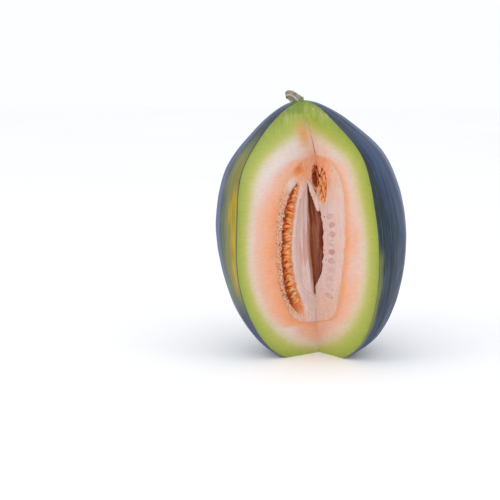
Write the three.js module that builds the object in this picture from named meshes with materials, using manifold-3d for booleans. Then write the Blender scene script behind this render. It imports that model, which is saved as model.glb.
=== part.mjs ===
// A ripe dark-skinned melon standing on its blossom end, with a quarter cut out of it from stem to base.
// The rind, the flesh and the soft pulp around the hollow grew as one piece. The seeds lie loose in the pulp,
// in the furrows and the pocket that the knife laid open. The stem is a dried stub on the crown.
// Units are millimetres, +Z is up, and the origin is the centre of the flat spot that the melon stands on.
// The open quarter faces -Y.
import * as THREE from "three";
import { mergeVertices } from "three/addons/utils/BufferGeometryUtils.js";
import Module from "manifold-3d";

const wasm = await Module();
wasm.setup();

// ---- Driving dimensions ----------------------------------------------------------------------------------

// The fruit's own axis runs from the blossom pole, at height 0, to the crown. It leans towards -X.
const LEAN = THREE.MathUtils.degToRad(5.5);
const FLAT_SPOT_DEPTH = 7; // how much of the round blossom end is pressed flat
const FLAT_SPOT_SHIFT = 9; // from the pole to the middle of the flat spot, on the side the fruit leans to

// [radius, height above the blossom pole] of the skin, of the wall between flesh and pulp, and of the hollow.
const SKIN_OUTLINE = [
  [0, 0], [17, 1.5], [34, 6.5], [58, 23], [79, 58], [90.5, 105], [90, 152], [77, 197], [47, 230], [28, 245],
  [13, 253], [0, 256],
];
const PULP_OUTLINE = [[0, 38], [26, 47], [39, 70], [45, 105], [44, 133], [37, 166], [21, 188], [0, 199]];
const HOLLOW_OUTLINE = [[0, 56], [9, 67], [15, 88], [17.5, 112], [15.5, 138], [9, 161], [0, 178]];
const SKIN_ROUND = 72; // flats around the skin
const PULP_ROUND = 40; // flats around the pulp and the hollow

// The knife's two cuts wander a little. Angles are from -Y towards +X, as [degrees, height].
const LEFT_CUT = [[-54, -20], [-52, 87], [-48, 145], [-51, 198], [-57, 250], [-57, 262]];
const RIGHT_CUT = [
  [43.5, -20], [42.5, 145], [43, 195], [46.5, 225], [49, 236], [56, 243], [68, 249], [82, 255], [88, 262],
];
// They meet in a crease, [x, y, height], that strays to the right of the axis and ends in front of the stem.
const CREASE = [
  [-2, 0, -20], [-2, 0, 75], [4, 0, 140], [11, -1, 195], [10, -2, 210], [7.5, -4, 225], [3.5, -7.5, 244],
  [1, -9.5, 262],
];
const CUT_REACH = 160; // how far the cut reaches from the axis, past the skin

// The soft pulp stands back from the cut flesh. A furrow runs along each cut where a row of seeds lay.
const PULP_RECESS = 1.2;
const LEFT_FURROW_DEPTH = 6.5;
const RIGHT_FURROW_DEPTH = 4.5;
const FURROW_OUTLINE = [
  [20, 52], [31, 68], [35.5, 92], [36.5, 120], [34.5, 142], [28, 157], [19, 170], [10, 179], [6, 174],
  [12, 162], [18.5, 147], [21.5, 125], [21.5, 100], [19, 80], [13, 62],
];
const POCKET = { radius: 19, height: 167, along: 10, up: 24, deep: 7 }; // torn into the right-hand pulp

// A seed is a flat drop, in a bed that is a little larger. A row of seeds runs up each cut, and one more row
// fills the pocket. SEED_RADIUS says how far from the axis a row runs, as [radius, height].
const SEED = { length: 11.5, width: 4.8, thickness: 2.4, taper: 0.35 };
const BED_CLEARANCE = 0.5;
const LEFT_ROW = { side: -1, count: 18, low: 63, high: 167, depth: 3.2 };
const RIGHT_ROW = { side: 1, count: 10, low: 66, high: 139, depth: 2.4 };
const POCKET_ROW = { side: 1, count: 5, low: 149, high: 183, depth: 3.4 };
const SEED_RADIUS = [
  [22, 60], [27.5, 80], [29.5, 105], [29, 130], [26.5, 143], [21, 157], [15, 170], [13, 185],
];
const SEED_FAN = THREE.MathUtils.degToRad(22); // how far the end seeds of a row are tipped

// The stem flares onto the crown, bends over towards -X and ends in a knob.
const STEM_ROUTE = [[0, 0, 0], [-0.4, 0, 3.4], [-3.4, 0, 7.4], [-8, 0, 9.7], [-11.5, 0, 8.6]];
const STEM_OUTLINE = [
  [0, 0], [8, 0], [6.4, 1.6], [5.3, 4], [4.6, 7], [4.3, 11], [4.5, 14], [4.6, 15.6], [3.6, 16.8], [0, 17.2],
];
const STEM_RIBS = 5;
const STEM_RIB_HEIGHT = 0.09; // as a share of the stem's radius
const STEM_GAP = 0.4; // clearance to the crown

// ---- Solids and meshes -----------------------------------------------------------------------------------

// A closed geometry as a solid that can be cut and joined.
function solidOf(geometry) {
  const bare = geometry.clone();
  bare.deleteAttribute("normal");
  bare.deleteAttribute("uv");
  const merged = mergeVertices(bare, 1e-4);
  return new wasm.Manifold(
    new wasm.Mesh({
      numProp: 3,
      vertProperties: merged.attributes.position.array,
      triVerts: new Uint32Array(merged.index.array),
    }),
  );
}

function geometryOf(solid) {
  const mesh = solid.getMesh();
  const geometry = new THREE.BufferGeometry();
  geometry.setAttribute("position", new THREE.BufferAttribute(mesh.vertProperties, 3));
  geometry.setIndex(new THREE.BufferAttribute(mesh.triVerts, 1));
  geometry.computeVertexNormals();
  return geometry;
}

// An outline of [radius, height] pairs, smoothed and turned about the fruit's axis.
function turned(outline, steps, round) {
  const knots = outline.map(([radius, height]) => new THREE.Vector3(radius, height, 0));
  const curve = new THREE.CatmullRomCurve3(knots, false, "centripetal");
  const profile = curve.getSpacedPoints(steps);
  profile.forEach((point) => point.setX(Math.max(point.x, 0)));
  return solidOf(new THREE.LatheGeometry(profile, round).rotateX(Math.PI / 2));
}

// The values of a table at a height, along straight runs between its rows, whose last entry is the height.
function along(table, height) {
  const above = table.findIndex((row) => row.at(-1) >= height);
  const upper = above < 0 ? table.length - 1 : Math.max(above, 1);
  const [from, to] = [table[upper - 1], table[upper]];
  const share = (height - from.at(-1)) / (to.at(-1) - from.at(-1));
  return from.slice(0, -1).map((value, i) => value + (to[i] - value) * THREE.MathUtils.clamp(share, 0, 1));
}

// A direction at an angle from -Y towards +X.
const bearing = (angle) => new THREE.Vector3(Math.sin(angle), -Math.cos(angle), 0);

// One cut at a height: its crease point, the way along the cut from there, and the way into the flesh.
function cutAt(side, height) {
  const angle = THREE.MathUtils.degToRad(along(side < 0 ? LEFT_CUT : RIGHT_CUT, height)[0]);
  const crease = new THREE.Vector3(...along(CREASE, height), 0);
  const outward = bearing(angle).multiplyScalar(CUT_REACH).sub(crease).normalize();
  const inward = bearing(angle + Math.PI / 2).multiplyScalar(side);
  return { angle, crease, outward, inward };
}

// ---- The leaning fruit -----------------------------------------------------------------------------------

const melon = new THREE.Group();
const fruit = new THREE.Group(); // the fruit's own frame, with its axis along +Z
fruit.rotation.y = -LEAN;
fruit.position.set(FLAT_SPOT_SHIFT, 0, -FLAT_SPOT_DEPTH);
fruit.updateMatrix();
melon.add(fruit);

function addPiece(name, geometry, material) {
  const piece = new THREE.Mesh(geometry, material);
  piece.name = name;
  fruit.add(piece);
  return piece;
}

// ---- Rind, flesh and pulp --------------------------------------------------------------------------------

// What the knife took out: a pie slice whose point follows the crease and whose sides follow the two cuts.
function cutQuarter() {
  const low = CREASE[0].at(-1);
  const high = CREASE.at(-1).at(-1);
  const rim = [-0.8, 0, 0.8].map((angle) => bearing(angle).multiplyScalar(CUT_REACH));
  const shape = new THREE.Shape([new THREE.Vector3(), ...rim]);
  const geometry = new THREE.ExtrudeGeometry(shape, { depth: high - low, steps: 24, bevelEnabled: false });
  geometry.translate(0, 0, low);
  const place = geometry.attributes.position;
  for (let i = 0; i < place.count; i++) {
    const [x, height] = [place.getX(i), place.getZ(i)];
    const { angle, crease } = cutAt(Math.sign(x), height);
    const onAxis = Math.hypot(x, place.getY(i)) < 1;
    const front = Math.abs(x) < 1;
    const target = onAxis ? crease : bearing(front ? 0 : angle).multiplyScalar(CUT_REACH);
    place.setXY(i, target.x, target.y);
  }
  return solidOf(geometry);
}

// The part of a turned solid that lies within a given depth behind one cut.
function behindCut(solid, quarter, side, depth) {
  const { inward } = cutAt(side, POCKET.height / 2);
  return solid.intersect(quarter.translate(inward.multiplyScalar(depth).toArray()));
}

// A ring around the axis that holds both furrows: a crescent section, closed on itself.
function furrowRing() {
  const closed = [...FURROW_OUTLINE, FURROW_OUTLINE[0]];
  const section = closed.map(([radius, height]) => new THREE.Vector2(radius, height));
  return solidOf(new THREE.LatheGeometry(section, PULP_ROUND).rotateX(Math.PI / 2));
}

// A place on a cut, at a radius from the axis and a depth behind the cut, as a matrix with X outward along
// the cut, Y up and Z into the open quarter.
function placeOnCut(side, radius, height, depth) {
  const { crease, outward, inward } = cutAt(side, height);
  const normal = inward.clone().negate();
  const up = new THREE.Vector3().crossVectors(normal, outward).multiplyScalar(-side);
  const face = new THREE.Vector3().crossVectors(outward, up);
  const place = outward.clone().multiplyScalar(radius - crease.dot(outward)).add(crease);
  place.addScaledVector(inward, depth).setZ(height);
  return new THREE.Matrix4().makeBasis(outward, up, face).setPosition(place);
}

function pocket() {
  const geometry = new THREE.SphereGeometry(1, 20, 14).scale(POCKET.along, POCKET.up, POCKET.deep);
  return solidOf(geometry.applyMatrix4(placeOnCut(1, POCKET.radius, POCKET.height, 0)));
}

// A flat drop, pointed towards +X, with room around it if a bed for it is wanted.
function seedGeometry(room = 0) {
  const geometry = new THREE.SphereGeometry(0.5, 10, 6).rotateZ(Math.PI / 2);
  const place = geometry.attributes.position;
  for (let i = 0; i < place.count; i++) {
    const narrowing = 1 - SEED.taper * 2 * place.getX(i);
    place.setY(i, place.getY(i) * narrowing);
  }
  return geometry.scale(SEED.length + 2 * room, SEED.width + 2 * room, SEED.thickness + 2 * room);
}

// The places of a row's seeds, which fan out from the middle of the row.
function seedPlaces({ side, count, low, high, depth }) {
  return Array.from({ length: count }, (_, i) => {
    const share = i / (count - 1);
    const height = low + (high - low) * share;
    const fan = new THREE.Matrix4().makeRotationZ(SEED_FAN * (2 * share - 1));
    return placeOnCut(side, along(SEED_RADIUS, height)[0], height, depth).multiply(fan);
  });
}

const seedBeds = () =>
  [LEFT_ROW, RIGHT_ROW, POCKET_ROW]
    .flatMap(seedPlaces)
    .map((place) => solidOf(seedGeometry(BED_CLEARANCE).applyMatrix4(place)))
    .reduce((beds, bed) => beds.add(bed));

function melonBody() {
  const quarter = cutQuarter();
  const pulp = turned(PULP_OUTLINE, 18, PULP_ROUND);
  const ring = furrowRing();
  const floor = new THREE.BoxGeometry(300, 300, 100).translate(0, 0, -50);
  floor.applyMatrix4(fruit.matrix.clone().invert());
  return turned(SKIN_OUTLINE, 32, SKIN_ROUND)
    .subtract(quarter)
    .subtract(behindCut(pulp, quarter, -1, PULP_RECESS))
    .subtract(behindCut(pulp, quarter, 1, PULP_RECESS))
    .subtract(behindCut(ring, quarter, -1, LEFT_FURROW_DEPTH))
    .subtract(behindCut(ring, quarter, 1, RIGHT_FURROW_DEPTH))
    .subtract(pocket())
    .subtract(seedBeds())
    .subtract(turned(HOLLOW_OUTLINE, 14, PULP_ROUND))
    .subtract(solidOf(floor));
}

const skinAndFlesh = new THREE.MeshStandardMaterial({ color: "#2b3a44", roughness: 0.42, metalness: 0 });
addPiece("melon_body", geometryOf(melonBody()), skinAndFlesh);

// ---- Seeds -----------------------------------------------------------------------------------------------

const seedCoat = new THREE.MeshStandardMaterial({ color: "#d9793f", roughness: 0.3, metalness: 0 });

function addSeedRow(name, row) {
  seedPlaces(row).forEach((place, i) => {
    const seed = addPiece(`${name}_${String(i + 1).padStart(2, "0")}`, seedGeometry(), seedCoat);
    seed.applyMatrix4(place);
  });
}
addSeedRow("seed_left", LEFT_ROW);
addSeedRow("seed_right", RIGHT_ROW);
addSeedRow("seed_pocket", POCKET_ROW);

// ---- Stem ------------------------------------------------------------------------------------------------

const driedStem = new THREE.MeshStandardMaterial({ color: "#8b8478", roughness: 0.85, metalness: 0 });

// A ribbed, flared rod that is turned straight and then bent along the stem's route.
function stemGeometry() {
  const route = new THREE.CatmullRomCurve3(STEM_ROUTE.map((point) => new THREE.Vector3(...point)));
  const profile = STEM_OUTLINE.map(([radius, height]) => new THREE.Vector2(radius, height));
  const geometry = new THREE.LatheGeometry(profile, STEM_RIBS * 6).rotateX(Math.PI / 2);
  const length = STEM_OUTLINE.at(-1)[1];
  const place = geometry.attributes.position;
  for (let i = 0; i < place.count; i++) {
    const [x, y, z] = [place.getX(i), place.getY(i), place.getZ(i)];
    const swell = 1 + STEM_RIB_HEIGHT * Math.cos(STEM_RIBS * Math.atan2(y, x));
    const share = THREE.MathUtils.clamp(z / length, 0, 1);
    const middle = route.getPointAt(share);
    const tangent = route.getTangentAt(share);
    place.setXYZ(i, middle.x + x * swell * tangent.z, y * swell, middle.z - x * swell * tangent.x);
  }
  return geometry;
}
const crown = SKIN_OUTLINE.at(-1)[1];
addPiece("stem", stemGeometry(), driedStem).position.set(0, 0, crown + STEM_GAP);

export default melon;
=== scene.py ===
import math
import random
from bisect import bisect_left

import bmesh
import bpy
from mathutils import Matrix, Vector, noise


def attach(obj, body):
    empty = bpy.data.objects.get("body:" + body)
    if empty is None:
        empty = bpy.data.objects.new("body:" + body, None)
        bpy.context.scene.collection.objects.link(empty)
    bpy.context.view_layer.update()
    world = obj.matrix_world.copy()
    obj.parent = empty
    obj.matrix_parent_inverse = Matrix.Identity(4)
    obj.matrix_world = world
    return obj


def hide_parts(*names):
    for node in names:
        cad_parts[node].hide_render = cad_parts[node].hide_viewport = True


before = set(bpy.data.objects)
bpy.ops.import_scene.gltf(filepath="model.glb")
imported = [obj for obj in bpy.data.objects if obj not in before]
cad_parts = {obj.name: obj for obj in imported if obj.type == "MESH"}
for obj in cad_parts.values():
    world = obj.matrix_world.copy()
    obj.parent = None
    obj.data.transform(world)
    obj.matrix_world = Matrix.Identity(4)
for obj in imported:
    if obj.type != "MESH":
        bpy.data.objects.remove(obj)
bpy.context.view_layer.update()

# ---- Rind and flesh -----------------------------------------------------------------------------------
# The fruit itself grew as one piece: a thin waxy rind over firm flesh. It stands on its blossom end, leans a
# little to -X, and a knife took a quarter out of it from stem to base, so two cut faces meet in a crease.
# The seed cavity in the middle is filled by the pulp, which has a section of its own.

MM = 0.001
LEAN = math.radians(5.5)
STAND = Matrix.Translation((9 * MM, 0, -7 * MM)) @ Matrix.Rotation(-LEAN, 4, "Y") @ Matrix.Scale(MM, 4)
LEFT, RIGHT = -1, 1

# Each outline and table ends its entries with the height above the blossom pole, in millimetres.
SKIN_OUTLINE = [  # radius
    [0, 0], [17, 1.5], [34, 6.5], [58, 23], [79, 58], [90.5, 105], [90, 152], [77, 197], [47, 230],
    [28, 245], [13, 253], [0, 256],
]
# bearings of the two cuts in degrees from the front, met CUT_REACH away from the axis
LEFT_CUT = [[-54, -20], [-52, 87], [-48, 145], [-51, 198], [-57, 250], [-57, 262]]
RIGHT_CUT = [
    [43.5, -20], [42.5, 145], [43, 195], [46.5, 225], [49, 236], [56, 243], [68, 249], [82, 255], [88, 262],
]
CUT_REACH = 160
CREASE = [
    [-2, 0, -20], [-2, 0, 75], [4, 0, 140], [11, -1, 195], [10, -2, 210], [7.5, -4, 225], [3.5, -7.5, 244],
    [1, -9.5, 262],
]
PULP_RADIUS = [
    [0, 38], [24, 44], [36, 62], [44.5, 98], [47.5, 135], [45, 162], [36, 182], [25, 194], [12, 200],
    [0, 202],
]
GREEN_WIDTH = [
    [16, 0], [13, 25], [9.5, 60], [8.6, 135], [10.2, 168], [10.6, 188], [12, 205], [18, 225], [29, 245],
    [34, 262],
]


def smooth_run(points, per_span=10):
    """A soft curve through the points, with per_span steps between each two of them."""
    knots = [Vector(point) for point in points]
    knots = [2 * knots[0] - knots[1], *knots, 2 * knots[-1] - knots[-2]]
    run = []
    for before, start, end, after in zip(knots, knots[1:], knots[2:], knots[3:]):
        lead = max((start - before).length ** 0.5, 1e-3)
        span = max((end - start).length ** 0.5, 1e-3)
        tail = max((after - end).length ** 0.5, 1e-3)
        leave = ((start - before) / lead - (end - before) / (lead + span) + (end - start) / span) * span
        arrive = ((end - start) / span - (after - start) / (span + tail) + (after - end) / tail) * span
        for step in range(per_span):
            t = step / per_span
            bend = (3 * (end - start) - 2 * leave - arrive) * t * t
            run.append(start + leave * t + bend + (2 * (start - end) + leave + arrive) * t**3)
    return [*run, knots[-2]]


def reader(table):
    """Reads a table at any height, along a soft curve through its entries."""
    run = smooth_run(table)
    heights = [knot[-1] for knot in run]

    def read(height):
        upper = min(max(bisect_left(heights, height), 1), len(run) - 1)
        low, high = run[upper - 1], run[upper]
        share = (height - low[-1]) / max(high[-1] - low[-1], 1e-6)
        return low.lerp(high, min(max(share, 0), 1))

    return read


def step_up(low, high, value):
    """0 below low, 1 above high, and a soft step between them."""
    t = min(max((value - low) / (high - low), 0), 1)
    return t * t * (3 - 2 * t)


def hump(centre, half_width, value):
    """1 at the centre, falling softly to about a third at half_width."""
    return math.exp(-(((value - centre) / half_width) ** 2))


def bearing(angle):
    """The level direction at an angle from -Y towards +X."""
    return Vector((math.sin(angle), -math.cos(angle), 0))


cut_angle = {LEFT: reader(LEFT_CUT), RIGHT: reader(RIGHT_CUT)}
crease_line = reader(CREASE)
pulp_radius = reader(PULP_RADIUS)
green_width = reader(GREEN_WIDTH)


def cut_at(side, height):
    """The crease at a height, the way along one cut from there, and the way from that cut into the fruit."""
    angle = math.radians(cut_angle[side](height)[0])
    crease = crease_line(height)
    crease = Vector((crease[0], crease[1], 0))
    outward = (bearing(angle) * CUT_REACH - crease).normalized()
    return crease, outward, bearing(angle + math.pi / 2) * side


def boundary_wobble(side, height):
    """The wall between flesh and pulp isn't a smooth line."""
    slow = noise.noise(Vector((side * 7.0, 0, height / 9)))
    quick = noise.noise(Vector((side * 3.0, 5, height / 3)))
    return 1.3 * slow + 0.6 * quick


def pulp_edge(side, height):
    """How far the pulp reaches from the crease along a cut."""
    radius = pulp_radius(height)[0]
    return max(radius + boundary_wobble(side, height) * min(radius / 10, 1), 0)


def skin_relief(angle, height, radius):
    """Shallow lengthwise ribs and broad unevenness, in millimetres, fading out towards both poles."""
    fade = min(radius / 55, 1)
    ribs = 0.55 * math.cos(11 * angle + 0.8 * math.sin(3 * angle + 1)) + 0.3 * math.cos(23 * angle + 2)
    lumps = 1.2 * noise.noise(Vector((math.sin(angle) * 1.6, math.cos(angle) * 1.6, height / 60)))
    fine = 0.25 * noise.noise(Vector((math.sin(angle) * 9, math.cos(angle) * 9, height / 14)))
    return (ribs * 0.75 + lumps + fine) * fade


def rim_at(side, height, radius):
    """Where a cut leaves the skin, and the angle there. Above the cut the rims meet in front of the stem."""
    crease, outward, _ = cut_at(side, height)
    if radius <= crease.length + 0.05:
        return bearing(0) * radius, 0.0
    angle = math.radians(cut_angle[side](height)[0])
    for _ in range(3):
        reach = radius + skin_relief(angle, height, radius)
        along = crease.dot(outward)
        place = crease + outward * (math.sqrt(along**2 - crease.length_squared + reach**2) - along)
        angle = math.atan2(place.x, -place.y)
    return place, angle


def even_rows(outline, count):
    """Points at even distances along a smoothed outline, with the distance run."""
    run = smooth_run(outline, 40)
    lengths = [0.0]
    for here, there in zip(run, run[1:]):
        lengths.append(lengths[-1] + (there - here).length)
    rows = []
    for i in range(count + 1):
        wanted = lengths[-1] * i / count
        upper = min(max(bisect_left(lengths, wanted), 1), len(run) - 1)
        share = (wanted - lengths[upper - 1]) / max(lengths[upper] - lengths[upper - 1], 1e-6)
        radius, height = run[upper - 1].lerp(run[upper], min(max(share, 0), 1))
        rows.append((max(radius, 0), height, wanted))
    return rows


def wrapped_sheet(rows, section_names, attributes, material_of, sharp):
    """A closed skin: every row is one loop of points, given as sections that share their end points.

    rows is a list of dicts of section name to a list of (place, values). The last section ends where the
    first begins. material_of maps a section name to its material, and sharp lists the sections that start
    at an edge.
    """
    starts, columns = {}, 0
    for name in section_names:
        starts[name] = columns
        columns += len(rows[0][name]) - 1
    bm = bmesh.new()
    bmesh.ops.create_grid(bm, x_segments=columns, y_segments=len(rows) - 1, size=0.5)
    layers = [bm.verts.layers.float.new(name) for name in attributes]
    owner = [name for name in section_names for _ in range(len(rows[0][name]) - 1)]
    sharp_columns = {starts[name] % columns for name in sharp}
    for face in bm.faces:
        middle = face.calc_center_median().x
        face.material_index = material_of[owner[min(int((middle + 0.5) * columns), columns - 1)]]
        face.smooth = True
    for edge in bm.edges:
        ends = [round((vert.co.x + 0.5) * columns) for vert in edge.verts]
        if ends[0] == ends[1] and ends[0] % columns in sharp_columns:
            edge.smooth = False
    for vert in bm.verts:
        column = round((vert.co.x + 0.5) * columns) % columns
        row = rows[round((vert.co.y + 0.5) * (len(rows) - 1))]
        name = owner[column]
        place, values = row[name][column - starts[name]]
        vert.co = place
        for layer, value in zip(layers, values):
            vert[layer] = value
    bmesh.ops.remove_doubles(bm, verts=bm.verts, dist=0.02)
    bmesh.ops.dissolve_degenerate(bm, edges=bm.edges, dist=0.01)
    bmesh.ops.transform(bm, matrix=STAND, verts=bm.verts)
    return bm


def finished(name, bm, replaced, materials):
    """Turns a bmesh into a piece that rides on the fruit and stands for the named CAD nodes."""
    mesh = bpy.data.meshes.new(name)
    bm.to_mesh(mesh)
    bm.free()
    piece = bpy.data.objects.new(name, mesh)
    bpy.context.scene.collection.objects.link(piece)
    for material in materials:
        mesh.materials.append(material)
    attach(piece, "root")
    if replaced:
        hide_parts(*replaced)
    return piece


SKIN_COLUMNS, FACE_COLUMNS, CAVITY_COLUMNS, BODY_ROWS = 200, 46, 30, 195
KNIFE_WAVE = 0.18  # the cut faces are this far from flat
SPLIT_DEPTH = 0.1  # and the crease between them is a thin split this deep
skin_rows = even_rows(SKIN_OUTLINE, BODY_ROWS)
RIND_LENGTH = skin_rows[-1][2]


def outline_at(run):
    """The radius and height of the skin at a distance along it from the blossom end."""
    share = min(max(run / RIND_LENGTH, 0), 1) * BODY_ROWS
    low = min(int(share), BODY_ROWS - 1)
    (r0, h0, _), (r1, h1, _) = skin_rows[low], skin_rows[low + 1]
    return r0 + (r1 - r0) * (share - low), h0 + (h1 - h0) * (share - low)


def slope_at(run):
    """How far the skin's outline moves sideways and upwards about a place on it."""
    step = 6
    (low_radius, low_height), (high_radius, high_height) = outline_at(run - step), outline_at(run + step)
    return abs(high_radius - low_radius), abs(high_height - low_height) + 1e-6


def ground_spot(angle, height, left_angle, right_angle):
    """The yellow patch that lay on the soil, beside the left cut, with a trace low beside the right cut."""
    from_left = math.degrees(left_angle + 2 * math.pi - angle)
    from_right = math.degrees(angle - right_angle)
    ragged = 4 * noise.noise(Vector((from_left / 5, 0, height / 18)))
    main = step_up(13 + ragged, 3 + ragged, from_left) * step_up(62, 100, height) * step_up(206, 170, height)
    olive = 0.5 * step_up(27 + ragged, 6, from_left) * step_up(40, 90, height) * step_up(245, 205, height)
    trace = 0.45 * step_up(7 + ragged, 1, from_right) * step_up(128, 100, height)
    return max(main, olive, trace)


def face_values(side, height, reach, rim_reach, slant):
    """Colour guides for a point of a cut face, all but the first from 0 to 1.

    green counts the widths of the green layer that lie between the point and the rind. crown grows towards
    the stem, blush is salmon, streak is the orange beside the crease, and crease is the split itself and the
    painted shade along it.
    """
    depth = max(rim_reach - reach, 0) * slant
    widening = 1.0 if side == LEFT else 1.3 - 0.2 * step_up(150, 230, height)
    green = depth / (green_width(height)[0] * widening)
    radius = pulp_radius(height)[0]
    core = math.hypot(max(reach - radius, 0), max(height - 198, 0), max(42 - height, 0))
    over_pulp = step_up(196, 208, height)
    crown = step_up(222, 248, height)
    if side == LEFT:
        spread = 26 + 16 * step_up(215, 150, height)
        blush = 0.72 * step_up(spread, 6, core) + 0.22 * step_up(14, 0, core)
        blush *= 1 - 0.35 * step_up(150, 185, height)
        blush = max(blush, 0.32 * hump(8, 9, reach) * over_pulp)
        streak = 0.95 * hump(8, 6.5, reach) * step_up(204, 225, height) * step_up(244, 222, height)
    else:
        blush = 0.3 * step_up(46, 10, core) + 0.42 * hump(0, 4.5, core) + 0.2 * step_up(110, 70, height)
        blush += 0.2 * hump(122, 15, height) * step_up(30, 8, core)
        blush = max(blush, 0.3 * hump(4, 12, reach) * over_pulp)
        streak = 0.12 * hump(3, 5, reach) * step_up(200, 214, height) * step_up(244, 228, height)
    crease = hump(0, 0.55, reach) * step_up(186, 196, height) * (1 - step_up(204, 236, height))
    return green, crown, min(blush, 1), streak, crease


def body_row(radius, height, run):
    left_rim, left_angle = rim_at(LEFT, height, radius)
    right_rim, right_angle = rim_at(RIGHT, height, radius)
    sweep = left_angle + 2 * math.pi - right_angle
    level = Vector((0, 0, height))
    near_low, near_high = slope_at(run)
    slant = near_high / math.hypot(near_low, near_high)
    row = {"skin": []}
    for i in range(SKIN_COLUMNS + 1):
        angle = right_angle + sweep * i / SKIN_COLUMNS
        reach = radius + skin_relief(angle, height, radius)
        spot = ground_spot(angle, height, left_angle, right_angle)
        row["skin"].append((bearing(angle) * reach + level, (angle, run, spot, 0, 0, 0, 0, 0)))
    row["skin"][0] = (right_rim + level, row["skin"][0][1])
    row["skin"][-1] = (left_rim + level, row["skin"][-1][1])
    for name, side, rim in (("left_face", LEFT, left_rim), ("right_face", RIGHT, right_rim)):
        crease, outward, inward = cut_at(side, height)
        cut = radius > crease.length + 0.05
        crease = crease if cut else rim
        rim_reach = (rim - crease).length
        inner = min(pulp_edge(side, height), rim_reach)
        points = []
        for i in range(FACE_COLUMNS + 1):
            # closer together at the inside
            reach = inner + (rim_reach - inner) * (1 - i / FACE_COLUMNS) ** 1.5
            place = crease + outward * reach if cut else rim.copy()
            still = min(step_up(0, 4, rim_reach - reach), step_up(0, 4, reach - inner)) if cut else 0
            wave = noise.noise(Vector((reach / 22, side * 3, height / 30)))
            values = face_values(side, height, reach, rim_reach, slant)
            place += inward * (KNIFE_WAVE * wave * still) + level
            if cut:
                place += Vector((0.1, 1, 0)) * (SPLIT_DEPTH * values[-1])
            points.append((place, (0, run, 0, *values)))
        row[name] = points
    crease, left_out, _ = cut_at(LEFT, height)
    _, right_out, _ = cut_at(RIGHT, height)
    start = math.atan2(left_out.x, -left_out.y)
    turn = 2 * math.pi - (math.atan2(right_out.x, -right_out.y) - start)
    left_inner, right_inner = row["left_face"][-1], row["right_face"][-1]
    row["cavity"] = []
    for i in range(CAVITY_COLUMNS + 1):
        share = i / CAVITY_COLUMNS
        reach = pulp_edge(LEFT, height) * (1 - share) + pulp_edge(RIGHT, height) * share
        place = crease + bearing(start - turn * share) * reach + level
        if radius <= crease.length + 0.05:
            place = left_inner[0]
        row["cavity"].append((place, left_inner[1]))
    row["cavity"][0], row["cavity"][-1] = left_inner, right_inner
    row["right_face"] = row["right_face"][::-1]
    return row


def srgb(code):
    """A hex colour as linear red, green, blue and alpha."""
    parts = [int(code[i : i + 2], 16) / 255 for i in (1, 3, 5)]
    return [p / 12.92 if p <= 0.04045 else ((p + 0.055) / 1.055) ** 2.4 for p in parts] + [1.0]


def plug(tree, node, inputs):
    """Fills a node's sockets, by name or number, with a value, a hex colour or the output that feeds it."""
    for name, value in inputs.items():
        if isinstance(value, bpy.types.NodeSocket):
            tree.links.new(value, node.inputs[name])
        else:
            node.inputs[name].default_value = srgb(value) if isinstance(value, str) else value


def add(tree, kind, inputs, out=0, stops=(), **settings):
    """Adds a node and gives back one output. stops are a colour ramp's pairs of position and hex colour."""
    node = tree.nodes.new("ShaderNode" + kind)
    for name, value in settings.items():
        setattr(node, name, value)
    plug(tree, node, inputs)
    for i, (position, code) in enumerate(stops):
        elements = node.color_ramp.elements
        element = elements[i] if i < 2 else elements.new(position)
        element.position = position
        element.color = srgb(code)
    return node.outputs[out]


def new_material(name):
    material = bpy.data.materials.new(name)
    material.use_nodes = True
    return material, material.node_tree, material.node_tree.nodes["Principled BSDF"]


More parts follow.
